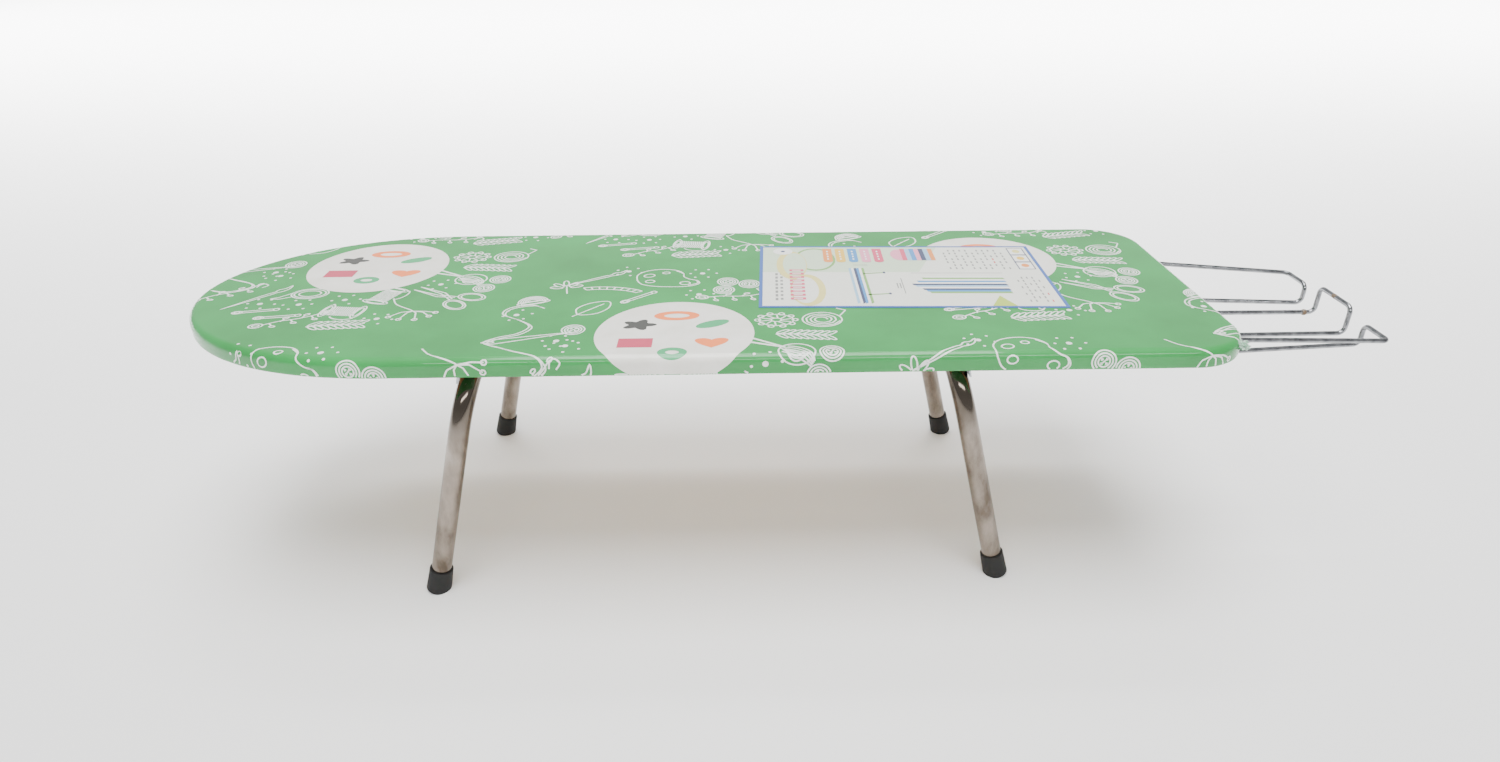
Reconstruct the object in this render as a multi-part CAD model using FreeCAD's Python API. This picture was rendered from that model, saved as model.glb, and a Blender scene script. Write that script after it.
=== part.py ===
"""Low ironing board: padded wooden panel on two folding U-shaped legs, with a wire iron rest.

Millimetres. +X runs from the rounded nose to the iron rest, +Z is up, the floor is z = 0 and
the origin is on the floor at the middle of the whole object's box.
"""
import FreeCAD, Part
import math
import os

from FreeCAD import Vector

# ---------------------------------------------------------------- driving sizes
board_length = 1050.0        # nose tip to square end, over the cover
board_width = 350.0
board_top = 274.0            # ironing surface above the floor
nose_length = 249.0          # rounded part of the outline
nose_power_x = 0.90          # superellipse powers: a little fuller than an ellipse
nose_power_y = 1.04
tail_corner = 58.0           # plan radius of the two corners at the square end

panel_t = 12.0
foam_t = 5.0
foam_skirt = 2.5             # foam pulled over the panel's edge
cover_t = 0.8
layer_gap = 0.1              # air between cover, foam and panel
shoulder_r = 8.0             # round of the padded top edge
hem_edge_r = 1.6
hem_width = 34.0             # cover turned under the panel
staple_inset = 20.0
staple_pitch = 48.0
staple_crown = 10.0
staple_wire = 0.9
staple_leg = 7.0

card_length = 313.0          # instruction card held under the clear wrap
card_width = 183.0
card_t = 0.25
card_setback = 300.0         # card centre from the square end
card_offset = 21.0           # card centre from the board's middle line
card_turn = -1.9             # degrees

tube_d = 20.0
tube_wall = 1.2
bend_r = 65.0                # centre line of the two bends of each U
leg_lean = 14.2              # degrees outward from upright, in side view
leg_splay = 2.8              # degrees outward, in end view
nose_foot_inset = 15.0       # foot centres on the floor, inward from the board's sides
tail_foot_inset = 27.5       # less spread, so that the two frames fold one over the other
nose_pivot_setback = 737.0   # pivot axis from the square end
tail_pivot_setback = 271.0

plate_t = 1.5                # steel plate under the panel that carries one U frame
plate_margin = 5.0
plate_hem_gap = 6.0          # plate's end to the turned-under hem
plate_corner = 8.0
pivot_top_gap = 0.3          # tube to plate
saddle_clear = 0.06          # radial running clearance
saddle_t = 2.0
saddle_width = 22.0
saddle_foot = 16.0
saddle_inset = 26.0          # saddle centre from the end of the straight crossbar
stop_t = 2.0
stop_width = 24.0
stop_foot = 26.0
stop_reach = 22.0            # flange below the pivot axis, along the leg
stop_gap = 0.3

cap_top_d = 23.6
cap_bottom_d = 25.6
cap_height = 27.5
cap_floor = 6.0              # rubber between the tube's end and the ground
cap_crush = 1.5              # rubber pressed flat by the ground
cap_round = 3.0
cap_clear = 0.05

wire_d = 5.0
wire_bend_r = 7.0
rest_reach = 174.5           # square end to the outside of the hooks
runner_z = 220.0             # lower wires, which carry the sole of the iron
side_hook_z = 242.0
middle_hook_z = 250.0
middle_half = 28.5           # half spacings of the wires at the hooks
side_inner_half = 56.0
side_outer_half = 95.0
middle_root_half = 30.0      # and under the board
side_inner_root_half = 69.0
side_outer_root_half = 112.0
step_start = 34.0            # where the lower wires start to climb, from the square end
step_end = 2.0
inner_turn_setback = 60.0
cross_wire_setback = 90.0
rail_kink = 8.0              # where the outer rails come flat under the hem

clip_clear = 0.1
clip_t = 1.2
clip_width = 12.0
clip_foot = 11.0
cross_clip_half = 78.0

big_screw = dict(head_r=4.2, head_h=2.6, shank_r=2.0, length=10.0)
small_screw = dict(head_r=3.2, head_h=2.0, shank_r=1.6, length=8.5)
screw_clear = 0.1

# ---------------------------------------------------------------- places worked out from them
half_width = board_width / 2
nose_x = -(board_length + rest_reach) / 2
tail_x = nose_x + board_length
foam_top = board_top - cover_t - layer_gap
panel_top = foam_top - foam_t - layer_gap
panel_under = panel_top - panel_t
hem_under = panel_under - layer_gap - cover_t

foam_inset = cover_t + layer_gap
panel_inset = foam_inset + foam_skirt + layer_gap

tube_r = tube_d / 2
plate_under = panel_under - plate_t
plate_half = half_width - hem_width - plate_hem_gap
stop_y = plate_half - plate_margin - stop_width / 2
pivot_z = plate_under - pivot_top_gap - tube_r
lean = math.radians(leg_lean)
splay = math.radians(leg_splay)
leg_length = pivot_z / math.cos(lean)        # pivot to floor, in the plane of the U

wire_r = wire_d / 2
wire_z = hem_under - layer_gap - wire_r

nose_pivot_x = tail_x - nose_pivot_setback
tail_pivot_x = tail_x - tail_pivot_setback
frames = (
    ("nose", nose_pivot_x, -1, half_width - nose_foot_inset),
    ("tail", tail_pivot_x, 1, half_width - tail_foot_inset),
)
sides = (("left", 1), ("right", -1))


def crossbar_half(foot_half):
    """Half length of the straight crossbar between the two bends of a U."""
    straight = leg_length - bend_r + bend_r * math.sin(splay)
    return foot_half - bend_r * math.cos(splay) - straight * math.tan(splay)


# ---------------------------------------------------------------- small helpers
def save(name, shape):
    shape.exportStep("parts/%s.step" % name)


def box(x0, x1, y0, y1, z0, z1):
    return Part.makeBox(x1 - x0, y1 - y0, z1 - z0, Vector(x0, y0, z0))


def upright(x, y, z0, z1, radius):
    return Part.makeCylinder(radius, z1 - z0, Vector(x, y, z0))


def extrude_profile(points, y0, y1):
    """Prism of an XZ outline between two Y planes."""
    corners = [Vector(x, y0, z) for x, z in points]
    face = Part.Face(Part.makePolygon(corners + corners[:1]))
    return face.extrude(Vector(0, y1 - y0, 0))


def join(solids):
    whole = solids[0]
    for solid in solids[1:]:
        whole = whole.fuse(solid)
    return whole.removeSplitter()


def rounded_path(points, radius):
    """Straight runs joined by tangent arcs of one radius."""
    edges = []
    start = points[0]
    for before, corner, after in zip(points, points[1:], points[2:]):
        to_before = (before - corner).normalize()
        to_after = (after - corner).normalize()
        half_turn = (math.pi - to_before.getAngle(to_after)) / 2
        tangent = radius * math.tan(half_turn)
        enter = corner + to_before * tangent
        leave = corner + to_after * tangent
        middle = (to_before + to_after).normalize()
        apex = corner + middle * (radius / math.cos(half_turn) - radius)
        edges.append(Part.LineSegment(start, enter).toShape())
        edges.append(Part.Arc(enter, apex, leave).toShape())
        start = leave
    edges.append(Part.LineSegment(start, points[-1]).toShape())
    return Part.Wire(edges)


def sweep_round(path, radius):
    """Round bar of one radius along a path."""
    first = path.OrderedEdges[0]
    start = first.valueAt(first.FirstParameter)
    direction = first.tangentAt(first.FirstParameter)
    ring = Part.Wire(Part.makeCircle(radius, start, direction))
    return path.makePipeShell([ring], True, False)


# ---------------------------------------------------------------- board
def outline(inset, z):
    """Plan of the board, moved in by inset: rounded nose, straight sides, square end."""
    half = half_width - inset
    nose = nose_length - inset
    corner = tail_corner - inset
    shoulder = nose_x + nose_length
    end = tail_x - inset
    count = 24
    nose_points = []
    for i in range(count + 1):
        t = math.pi * i / count - math.pi / 2
        reach = max(math.cos(t), 0.0) ** nose_power_x
        across = math.copysign(abs(math.sin(t)) ** nose_power_y, t)
        nose_points.append(Vector(shoulder - nose * reach, half * across, z))
    nose_curve = Part.BSplineCurve()
    nose_curve.interpolate(Points=nose_points, InitialTangent=Vector(-1, 0, 0),
                           FinalTangent=Vector(1, 0, 0))
    bend = corner * (1 - math.sqrt(0.5))
    shoulder_near, shoulder_far = Vector(shoulder, -half, z), Vector(shoulder, half, z)
    side_near, side_far = Vector(end - corner, -half, z), Vector(end - corner, half, z)
    end_near, end_far = Vector(end, corner - half, z), Vector(end, half - corner, z)
    end_middle = Vector(end, 0, z)
    pieces = [Part.LineSegment(end_middle, end_near),
              Part.Arc(end_near, Vector(end - bend, bend - half, z), side_near),
              Part.LineSegment(side_near, shoulder_near),
              nose_curve,
              Part.LineSegment(shoulder_far, side_far),
              Part.Arc(side_far, Vector(end - bend, half - bend, z), end_far),
              Part.LineSegment(end_far, end_middle)]
    edges = [piece.toShape() for piece in pieces]
    return Part.Wire(edges)


def slab(inset, z0, z1):
    return Part.Face(outline(inset, z0)).extrude(Vector(0, 0, z1 - z0))


def level_edges(solid, z):
    return [e for e in solid.Edges if all(abs(v.Z - z) < 1e-6 for v in e.Vertexes)
            and abs(e.BoundBox.ZMin - z) < 1e-3 and abs(e.BoundBox.ZMax - z) < 1e-3]


def soft_slab(inset, z0, z1):
    """Slab with the padded round along its top edge."""
    solid = slab(inset, z0, z1)
    return solid.makeFillet(shoulder_r - inset, level_edges(solid, z1))


def board_panel():
    panel = slab(panel_inset, panel_under, panel_top)
    pilots = [upright(x, y, panel_under - 1, seat + size["length"] + screw_clear,
                      size["shank_r"] + screw_clear)
              for x, y, seat, size in all_screws()]
    return panel.cut(pilots)


def foam_pad():
    pad = soft_slab(foam_inset, panel_under, foam_top)
    return pad.cut(slab(panel_inset - layer_gap, panel_under - 1, panel_top + layer_gap))


def board_cover():
    skin = slab(0, hem_under, board_top)
    skin = skin.makeFillet(shoulder_r, level_edges(skin, board_top))
    skin = skin.makeFillet(hem_edge_r, level_edges(skin, hem_under))
    hollow = soft_slab(cover_t, hem_under + cover_t, board_top - cover_t)
    window = slab(hem_width, hem_under - 1, hem_under + cover_t + 1)
    return skin.cut([hollow, window])


def cover_staples():
    """Staples along the turned-under hem, crowns along the edge."""
    route = outline(staple_inset, hem_under)
    count = round(route.Length / staple_pitch)
    points = route.discretize(Number=count + 1)[:-1]
    staples = []
    for i, point in enumerate(points):
        along = points[(i + 1) % count] - points[i - 1]
        turn = math.degrees(math.atan2(along.y, along.x))
        half = staple_crown / 2
        crown = box(-half, half, -staple_wire / 2, staple_wire / 2, -staple_wire, 0)
        legs = [box(side * half - (side > 0) * staple_wire, side * half + (side < 0) * staple_wire,
                    -staple_wire / 2, staple_wire / 2, 0, staple_leg) for side in (-1, 1)]
        staple = join([crown] + legs)
        staple.rotate(Vector(0, 0, 0), Vector(0, 0, 1), turn)
        staple.translate(point)
        staples.append(staple)
    return Part.makeCompound(staples)


def instruction_card():
    card = box(-card_length / 2, card_length / 2, -card_width / 2, card_width / 2, 0, card_t)
    card.rotate(Vector(0, 0, 0), Vector(0, 0, 1), card_turn)
    card.translate(Vector(tail_x - card_setback, card_offset, board_top + layer_gap))
    return card


# ---------------------------------------------------------------- screws
def strap_reach(radius, clear, thickness, foot):
    """Half length of a strap, and its screws' distance from the bar's axis."""
    reach = radius + clear + thickness + foot
    return reach, reach - foot / 2


def screw(x, y, seat, size):
    """Pan head below its seat, shank up into the panel."""
    head = upright(x, y, seat - size["head_h"], seat, size["head_r"])
    rim = [e for e in head.Edges if abs(e.BoundBox.ZMax - (seat - size["head_h"])) < 1e-6]
    head = head.makeFillet(size["head_h"] / 2, rim)
    shank = upright(x, y, seat, seat + size["length"], size["shank_r"])
    return head.fuse(shank).removeSplitter()


def saddle_places(pivot_x, foot_half):
    y = crossbar_half(foot_half) - saddle_inset
    return [(pivot_x, side * y) for name, side in sides]


def stop_root(outward):
    """Distance of the stop flange's outer face from the pivot, where it meets its foot."""
    offset = tube_r + stop_gap + stop_t
    rise = plate_under - stop_t - pivot_z
    along = (math.sin(lean) * offset - rise) / math.cos(lean)
    return outward * (math.cos(lean) * offset + math.sin(lean) * along)


def saddle_screw_places():
    reach, hole = strap_reach(tube_r, saddle_clear, saddle_t, saddle_foot)
    return [(x + end * hole, y, plate_under - saddle_t, big_screw)
            for name, pivot_x, outward, foot_half in frames
            for x, y in saddle_places(pivot_x, foot_half) for end in (-1, 1)]


def stop_screw_places():
    return [(pivot_x + stop_root(outward) + outward * stop_foot / 2,
             side * stop_y, plate_under - stop_t, big_screw)
            for name, pivot_x, outward, foot_half in frames for side_name, side in sides]


def clip_places():
    turn_half = (middle_root_half + side_inner_root_half) / 2
    return [("cross_left", tail_x - cross_wire_setback, cross_clip_half),
            ("cross_right", tail_x - cross_wire_setback, -cross_clip_half),
            ("turn_left", tail_x - inner_turn_setback, turn_half),
            ("turn_right", tail_x - inner_turn_setback, -turn_half)]


def clip_screw_places():
    reach, hole = strap_reach(wire_r, clip_clear, clip_t, clip_foot)
    return [(x + end * hole, y, panel_under - clip_t, small_screw)
            for name, x, y in clip_places() for end in (-1, 1)]


def all_screws():
    return saddle_screw_places() + stop_screw_places() + clip_screw_places()


def screw_group(places):
    return Part.makeCompound([screw(*place) for place in places])


def shank_holes(places, z0, z1):
    return [upright(x, y, z0, z1, size["shank_r"] + screw_clear) for x, y, seat, size in places]


# ---------------------------------------------------------------- brackets
def strap(x, y, bar_z, mount_z, radius, clear, thickness, width, foot):
    """Bent strap that holds a bar along Y up against a flat face."""
    inner = radius + clear
    outer = inner + thickness
    reach, hole = strap_reach(radius, clear, thickness, foot)
    y0, y1 = y - width / 2, y + width / 2
    axis = Vector(x, y0, bar_z)
    shell = join([Part.makeCylinder(outer, width, axis, Vector(0, 1, 0)),
                  box(x - outer, x + outer, y0, y1, bar_z, mount_z),
                  box(x - reach, x + reach, y0, y1, mount_z - thickness, mount_z)])
    shell = shell.common(box(x - reach, x + reach, y0, y1, bar_z - outer, mount_z))
    bore = Part.makeCylinder(inner, width + 2, Vector(x, y0 - 1, bar_z), Vector(0, 1, 0))
    throat = box(x - inner, x + inner, y0 - 1, y1 + 1, bar_z, mount_z + 1)
    corners = [e for e in shell.Edges if abs(e.CenterOfMass.x - x) > reach - 1e-6
               and abs(e.BoundBox.ZLength - thickness) < 1e-6]
    shell = shell.makeFillet(width / 4, corners)
    return shell.cut([bore, throat])


def mount_plate(pivot_x, outward):
    """Steel plate that spreads one frame's saddles and stops over the panel."""
    inner_reach = strap_reach(tube_r, saddle_clear, saddle_t, saddle_foot)[0] + plate_margin
    outer_reach = abs(stop_root(outward)) + stop_foot + plate_margin
    low, high = sorted((pivot_x - outward * inner_reach, pivot_x + outward * outer_reach))
    plate = box(low, high, -plate_half, plate_half, plate_under, panel_under)
    corners = [e for e in plate.Edges if e.BoundBox.ZLength > plate_t / 2]
    plate = plate.makeFillet(plate_corner, corners)
    return plate.cut(shank_holes(saddle_screw_places() + stop_screw_places(),
                                 plate_under - 1, panel_under + 1))


def leg_saddle(x, y):
    body = strap(x, y, pivot_z, plate_under, tube_r, saddle_clear, saddle_t, saddle_width,
                 saddle_foot)
    return body.cut(shank_holes(saddle_screw_places(), plate_under - saddle_t - 1, plate_under + 1))


def leg_stop(pivot_x, outward, y):
    """Angle bracket whose flange leans with the open leg and takes its outward push."""
    def flange_point(offset, along):
        return (pivot_x + outward * (math.cos(lean) * offset + math.sin(lean) * along),
                pivot_z + math.sin(lean) * offset - math.cos(lean) * along)

    face = tube_r + stop_gap
    back = face + stop_t
    foot_top = (math.sin(lean) * face - (plate_under - pivot_z)) / math.cos(lean)
    root = pivot_x + stop_root(outward)
    foot_end = root + outward * stop_foot
    profile = [flange_point(face, foot_top), flange_point(face, stop_reach),
               flange_point(back, stop_reach), (root, plate_under - stop_t),
               (foot_end, plate_under - stop_t), (foot_end, plate_under)]
    bracket = extrude_profile(profile, y - stop_width / 2, y + stop_width / 2)
    return bracket.cut(shank_holes(stop_screw_places(), plate_under - stop_t - 1, plate_under + 1))


# ---------------------------------------------------------------- leg frames
def place_frame(shape, pivot_x, outward):
    """Lean a frame drawn upright about its pivot, and move it to its place."""
    shape.rotate(Vector(0, 0, 0), Vector(0, 1, 0), -outward * leg_lean)
    shape.translate(Vector(pivot_x, 0, pivot_z))
    return shape


def leg_tube(pivot_x, outward, foot_half):
    half = crossbar_half(foot_half)
    end = leg_length + cap_crush - cap_floor
    end_half = foot_half - (leg_length - end) * math.tan(splay)
    sin_s, cos_s = math.sin(splay), math.cos(splay)
    corner_half = half + bend_r * math.tan((math.pi / 2 - splay) / 2)
    path = rounded_path([Vector(0, end_half, -end), Vector(0, corner_half, 0),
                         Vector(0, -corner_half, 0), Vector(0, -end_half, -end)], bend_r)
    tube = sweep_round(path, tube_r).cut(sweep_round(path, tube_r - tube_wall))
    return place_frame(tube, pivot_x, outward)


def foot_cap(pivot_x, outward, foot_half, side):
    """Rubber cup on the end of a leg, its sole pressed flat on the floor."""
    bottom = -cap_crush
    top = bottom + cap_height
    cup = Part.makeCone(cap_bottom_d / 2, cap_top_d / 2, cap_height, Vector(0, 0, bottom))
    rim = [e for e in cup.Edges if abs(e.BoundBox.ZMax - bottom) < 1e-6]
    cup = cup.makeFillet(cap_round, rim)
    socket = upright(0, 0, bottom + cap_floor, top + 1, tube_r + cap_clear)
    cup = cup.cut(socket)
    cup.rotate(Vector(0, 0, 0), Vector(1, 0, 0), side * leg_splay)
    cup.translate(Vector(0, side * foot_half, -leg_length))
    cup = place_frame(cup, pivot_x, outward)
    reach = board_length
    return cup.cut(box(-reach, reach, -reach, reach, -cap_height, 0))


# ---------------------------------------------------------------- iron rest
def iron_rest():
    """One closed wire: three hooked loops, joined by turns that lie under the board."""
    tip = tail_x + rest_reach - wire_r
    turn = tail_x - inner_turn_setback
    cross = tail_x - cross_wire_setback
    low, high = tail_x + step_start, tail_x + step_end
    kink = tail_x - rail_kink
    half_path = [
        Vector(tip, 0, middle_hook_z),
        Vector(tip, middle_half, middle_hook_z),
        Vector(tip, middle_half, runner_z),
        Vector(low, middle_root_half, runner_z),
        Vector(high, middle_root_half, wire_z),
        Vector(turn, middle_root_half, wire_z),
        Vector(turn, side_inner_root_half, wire_z),
        Vector(high, side_inner_root_half, wire_z),
        Vector(low, side_inner_root_half, runner_z),
        Vector(tip, side_inner_half, runner_z),
        Vector(tip, side_inner_half, side_hook_z),
        Vector(tip, side_outer_half, side_hook_z),
        Vector(kink, side_outer_root_half - 3, wire_z),
        Vector(cross, side_outer_root_half, wire_z),
        Vector(cross, 0, wire_z),
    ]
    path = rounded_path(half_path, wire_bend_r)
    half = sweep_round(path, wire_r)
    print("iron rest volume / (section x length):",
          round(half.Volume / (math.pi * wire_r ** 2 * path.Length), 5))
    return join([half, half.mirror(Vector(0, 0, 0), Vector(0, 1, 0))])


def rest_clip(x, y):
    body = strap(x, y, wire_z, panel_under, wire_r, clip_clear, clip_t, clip_width, clip_foot)
    return body.cut(shank_holes(clip_screw_places(), panel_under - clip_t - 1, panel_under + 1))


# ---------------------------------------------------------------- all the pieces
os.makedirs("parts", exist_ok=True)

save("board_panel", board_panel())
save("foam_pad", foam_pad())
save("board_cover", board_cover())
save("cover_staples", cover_staples())
save("instruction_card", instruction_card())

for end_name, pivot_x, outward, foot_half in frames:
    save(end_name + "_mount_plate", mount_plate(pivot_x, outward))
    save(end_name + "_leg_tube", leg_tube(pivot_x, outward, foot_half))
    for (x, y), (side_name, side) in zip(saddle_places(pivot_x, foot_half), sides):
        save("%s_saddle_%s" % (end_name, side_name), leg_saddle(x, y))
        save("%s_stop_%s" % (end_name, side_name), leg_stop(pivot_x, outward, side * stop_y))
        save("%s_foot_cap_%s" % (end_name, side_name),
             foot_cap(pivot_x, outward, foot_half, side))

save("iron_rest", iron_rest())
for clip_name, x, y in clip_places():
    save("rest_clip_" + clip_name, rest_clip(x, y))

save("saddle_screws", screw_group(saddle_screw_places()))
save("stop_screws", screw_group(stop_screw_places()))
save("clip_screws", screw_group(clip_screw_places()))
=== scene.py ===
import math

import bmesh
import bpy
import numpy as np
from mathutils import Matrix, Vector, noise
from mathutils.bvhtree import BVHTree


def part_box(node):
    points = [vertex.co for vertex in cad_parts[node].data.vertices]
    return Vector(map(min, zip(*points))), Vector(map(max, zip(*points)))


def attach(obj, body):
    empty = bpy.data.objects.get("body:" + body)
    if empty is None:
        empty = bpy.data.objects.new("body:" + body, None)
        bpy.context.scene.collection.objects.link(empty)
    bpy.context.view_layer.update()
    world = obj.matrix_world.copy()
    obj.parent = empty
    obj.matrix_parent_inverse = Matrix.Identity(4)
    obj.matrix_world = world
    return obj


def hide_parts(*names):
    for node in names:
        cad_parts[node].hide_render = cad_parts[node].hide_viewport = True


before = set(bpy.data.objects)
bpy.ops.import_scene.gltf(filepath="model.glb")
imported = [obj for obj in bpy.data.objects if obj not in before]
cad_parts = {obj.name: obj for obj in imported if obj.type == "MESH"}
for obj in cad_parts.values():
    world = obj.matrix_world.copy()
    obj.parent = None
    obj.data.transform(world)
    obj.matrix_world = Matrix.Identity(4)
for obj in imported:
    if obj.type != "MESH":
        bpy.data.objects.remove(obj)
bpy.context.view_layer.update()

MM = 0.001
cover_low, cover_high = (Vector(corner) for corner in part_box("board_cover"))
nose_tip, square_end, half_width = cover_low.x, cover_high.x, cover_high.y
board_top, board_under = cover_high.z, cover_low.z

# ---------------------------------------------------------------- camera and studio
# A wide lens just above the board's near side and a white floor. A dim back panel lies as haze on
# the clear wrap, a front strip draws the bright line along the padded edge, a box overhead gives
# the main light, and a narrow wash lights the floor behind.

def look_matrix(place, pitch, yaw, roll):
    pitch, yaw, roll = (math.radians(angle) for angle in (pitch, yaw, roll))
    forward = Vector((math.sin(yaw) * math.cos(pitch), math.cos(yaw) * math.cos(pitch),
                      -math.sin(pitch)))
    right = Vector((math.cos(yaw), -math.sin(yaw), 0))
    up = right.cross(forward)
    rolled_right = right * math.cos(roll) + up * math.sin(roll)
    rolled_up = up * math.cos(roll) - right * math.sin(roll)
    turn = Matrix((rolled_right, rolled_up, -forward)).transposed()
    return Matrix.Translation(place) @ turn.to_4x4()


camera_data = bpy.data.cameras.new("camera")
camera_data.lens = 22.03
camera_data.sensor_width = 36
camera_data.clip_end = 50
camera = bpy.data.objects.new("camera", camera_data)
camera.matrix_world = look_matrix(Vector((square_end - 0.479, -0.919, 0.640)), 27.76, 0.68, -0.45)
bpy.context.collection.objects.link(camera)
bpy.context.scene.camera = camera


def srgb(code):
    """Linear RGBA of an sRGB hex colour."""
    values = [int(code[i:i + 2], 16) / 255 for i in (1, 3, 5)]
    return [v / 12.92 if v <= 0.04045 else ((v + 0.055) / 1.055) ** 2.4 for v in values] + [1.0]


def add_node(tree, kind, links=(), **settings):
    """Adds a node, sets its attributes or unlinked inputs by name, and links its inputs."""
    made = tree.nodes.new(kind)
    for name, value in settings.items():
        if hasattr(made, name):
            setattr(made, name, value)
    for name, value in settings.items():
        if not hasattr(made, name):
            made.inputs[name.replace("_", " ")].default_value = value
    for name, source in dict(links).items():
        tree.links.new(source, made.inputs[name])
    return made


def new_material(name, color, roughness, metallic=0.0):
    """A material with one Principled shader, returned with its tree and that shader."""
    material = bpy.data.materials.new(name)
    material.use_nodes = True
    tree = material.node_tree
    shader = next(n for n in tree.nodes if n.type == "BSDF_PRINCIPLED")
    shader.inputs["Base Color"].default_value = srgb(color)
    shader.inputs["Roughness"].default_value = roughness
    shader.inputs["Metallic"].default_value = metallic
    return material, tree, shader


def noise_texture(tree, scale_mm, detail=3.0, stretch=(1, 1, 1), roughness=0.55):
    """Noise whose features are scale_mm across, on Object coordinates."""
    place = add_node(tree, "ShaderNodeTexCoord")
    mapping = add_node(tree, "ShaderNodeMapping", {"Vector": place.outputs["Object"]},
                       Scale=stretch)
    return add_node(tree, "ShaderNodeTexNoise", {"Vector": mapping.outputs["Vector"]},
                    Scale=1 / (scale_mm * MM), Detail=detail, Roughness=roughness)


def ramp(tree, source, stops):
    """Colour ramp from a list of (place, hex colour)."""
    made = add_node(tree, "ShaderNodeValToRGB", {"Fac": source})
    elements = made.color_ramp.elements
    while len(elements) < len(stops):
        elements.new(0.5)
    for element, (place, color) in zip(elements, stops):
        element.position = place
        element.color = srgb(color)
    return made.outputs["Color"]


def bump(tree, shader, height, depth_mm, strength=1.0):
    made = add_node(tree, "ShaderNodeBump", {"Height": height}, Distance=depth_mm * MM,
                    Strength=strength)
    tree.links.new(made.outputs["Normal"], shader.inputs["Normal"])


def mesh_object(name, verts, faces, material, smooth=True):
    mesh = bpy.data.meshes.new(name)
    mesh.from_pydata([tuple(v) for v in verts], [], faces)
    made = bpy.data.objects.new(name, mesh)
    bpy.context.collection.objects.link(made)
    for one in material if isinstance(material, (list, tuple)) else [material]:
        mesh.materials.append(one)
    mesh.shade_smooth() if smooth else None
    return made


floor_size = 30.0
floor_white, floor_tree, floor_shader = new_material("matt_white_floor", "#F4F4F4", 0.9)
floor_shader.inputs["Specular IOR Level"].default_value = 0.1
speck = noise_texture(floor_tree, 400)
floor_tree.links.new(ramp(floor_tree, speck.outputs["Fac"], [(0, "#FAFAFA"), (1, "#FDFDFD")]),
                     floor_shader.inputs["Base Color"])
half_floor = floor_size / 2
floor = mesh_object("floor", [(-half_floor, -half_floor, 0), (half_floor, -half_floor, 0),
                              (half_floor, half_floor, 0), (-half_floor, half_floor, 0)],
                    [(0, 1, 2, 3)], floor_white)


def softbox(name, place, target, size, power, beam=180):
    light_data = bpy.data.lights.new(name, "AREA")
    light_data.shape = "RECTANGLE"
    light_data.size, light_data.size_y = size
    light_data.energy = power
    light_data.spread = math.radians(beam)
    light = bpy.data.objects.new(name, light_data)
    aim = (Vector(target) - Vector(place)).to_track_quat("-Z", "Y")
    light.matrix_world = Matrix.Translation(place) @ aim.to_matrix().to_4x4()
    bpy.context.collection.objects.link(light)


softbox("back_panel", (0, 3.4, 2.1), (0, 0, 0.2), (9.0, 3.2), 16)
softbox("front_strip", (0.3, -3.6, 2.6), (0, 0, 0.2), (4.2, 0.4), 75)
softbox("overhead", (0, -0.4, 3.4), (0, 0, 0), (2.2, 2.2), 165)
softbox("backdrop_wash", (0, 5.2, 5), (0, 5.2, 0), (14.0, 6.0), 2600, 70)
world = bpy.data.worlds.new("studio")
world.use_nodes = True
world.node_tree.nodes["Background"].inputs["Color"].default_value = srgb("#FFFFFF")
world.node_tree.nodes["Background"].inputs["Strength"].default_value = 0.65
bpy.context.scene.world = world


def finish_node(node, material):
    """Gives a CAD node its material."""
    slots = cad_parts[node].data.materials
    slots.clear()
    slots.append(material)


# ---------------------------------------------------------------- wooden panel
# A 12 mm sheet of poplar plywood cut to the board's outline, bare underneath, where its long
# pale grain and a few darker streaks show inside the turned-under hem.

plywood, tree, shader = new_material("poplar_plywood_raw", "#C79E6C", 0.62)
grain = noise_texture(tree, 9, detail=6, stretch=(0.035, 1, 1))
streaks = noise_texture(tree, 60, detail=3, stretch=(0.12, 1, 1))
mixed = add_node(tree, "ShaderNodeMath", {0: grain.outputs["Fac"], 1: streaks.outputs["Fac"]},
                 operation="MULTIPLY")
tree.links.new(ramp(tree, mixed.outputs["Value"],
                    [(0.12, "#8E6238"), (0.22, "#B98B55"), (0.32, "#CFA873"), (0.45, "#D9B988")]),
               shader.inputs["Base Color"])
bump(tree, shader, grain.outputs["Fac"], 0.3, 0.5)
finish_node("board_panel", plywood)

# ---------------------------------------------------------------- foam pad
# Soft 5 mm polyurethane foam laid over the panel and pulled round its edge, so that the board
# has a full, rounded shoulder under the cover.

nose_length = 249 * MM
nose_powers = (0.90, 1.04)
tail_corner = 58 * MM
foam_skirt, cloth = 2.5 * MM, 0.8 * MM
shoulder = 8 * MM


def stations():
    """Places round the outline: (part, share of that part), nose first, then anticlockwise."""
    parts = [("nose", 110), ("far", 134), ("far_corner", 20), ("end", 50), ("near_corner", 20),
             ("near", 134)]
    return [(part, i / count) for part, count in parts for i in range(count)]


def outline_point(station, inset):
    part, share = station
    half = half_width - inset
    corner = max(tail_corner - inset, 0)
    start = nose_tip + nose_length
    end = square_end - inset
    if part == "nose":
        t = (share - 0.5) * math.pi
        reach = (nose_length - inset) * max(math.cos(t), 0) ** nose_powers[0]
        across = math.copysign(abs(math.sin(t)) ** nose_powers[1], t)
        return Vector((start - reach, half * across))
    if part == "far":
        return Vector((start + (end - corner - start) * share, half))
    if part == "near":
        return Vector((end - corner - (end - corner - start) * share, -half))
    if part == "end":
        return Vector((end, (half - corner) * (1 - 2 * share)))
    turn = share * math.pi / 2
    if part == "far_corner":
        return Vector((end - corner + corner * math.sin(turn), half - corner * (1 - math.cos(turn))))
    return Vector((end - corner * (1 - math.cos(turn)), -half + corner - corner * math.sin(turn)))


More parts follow.
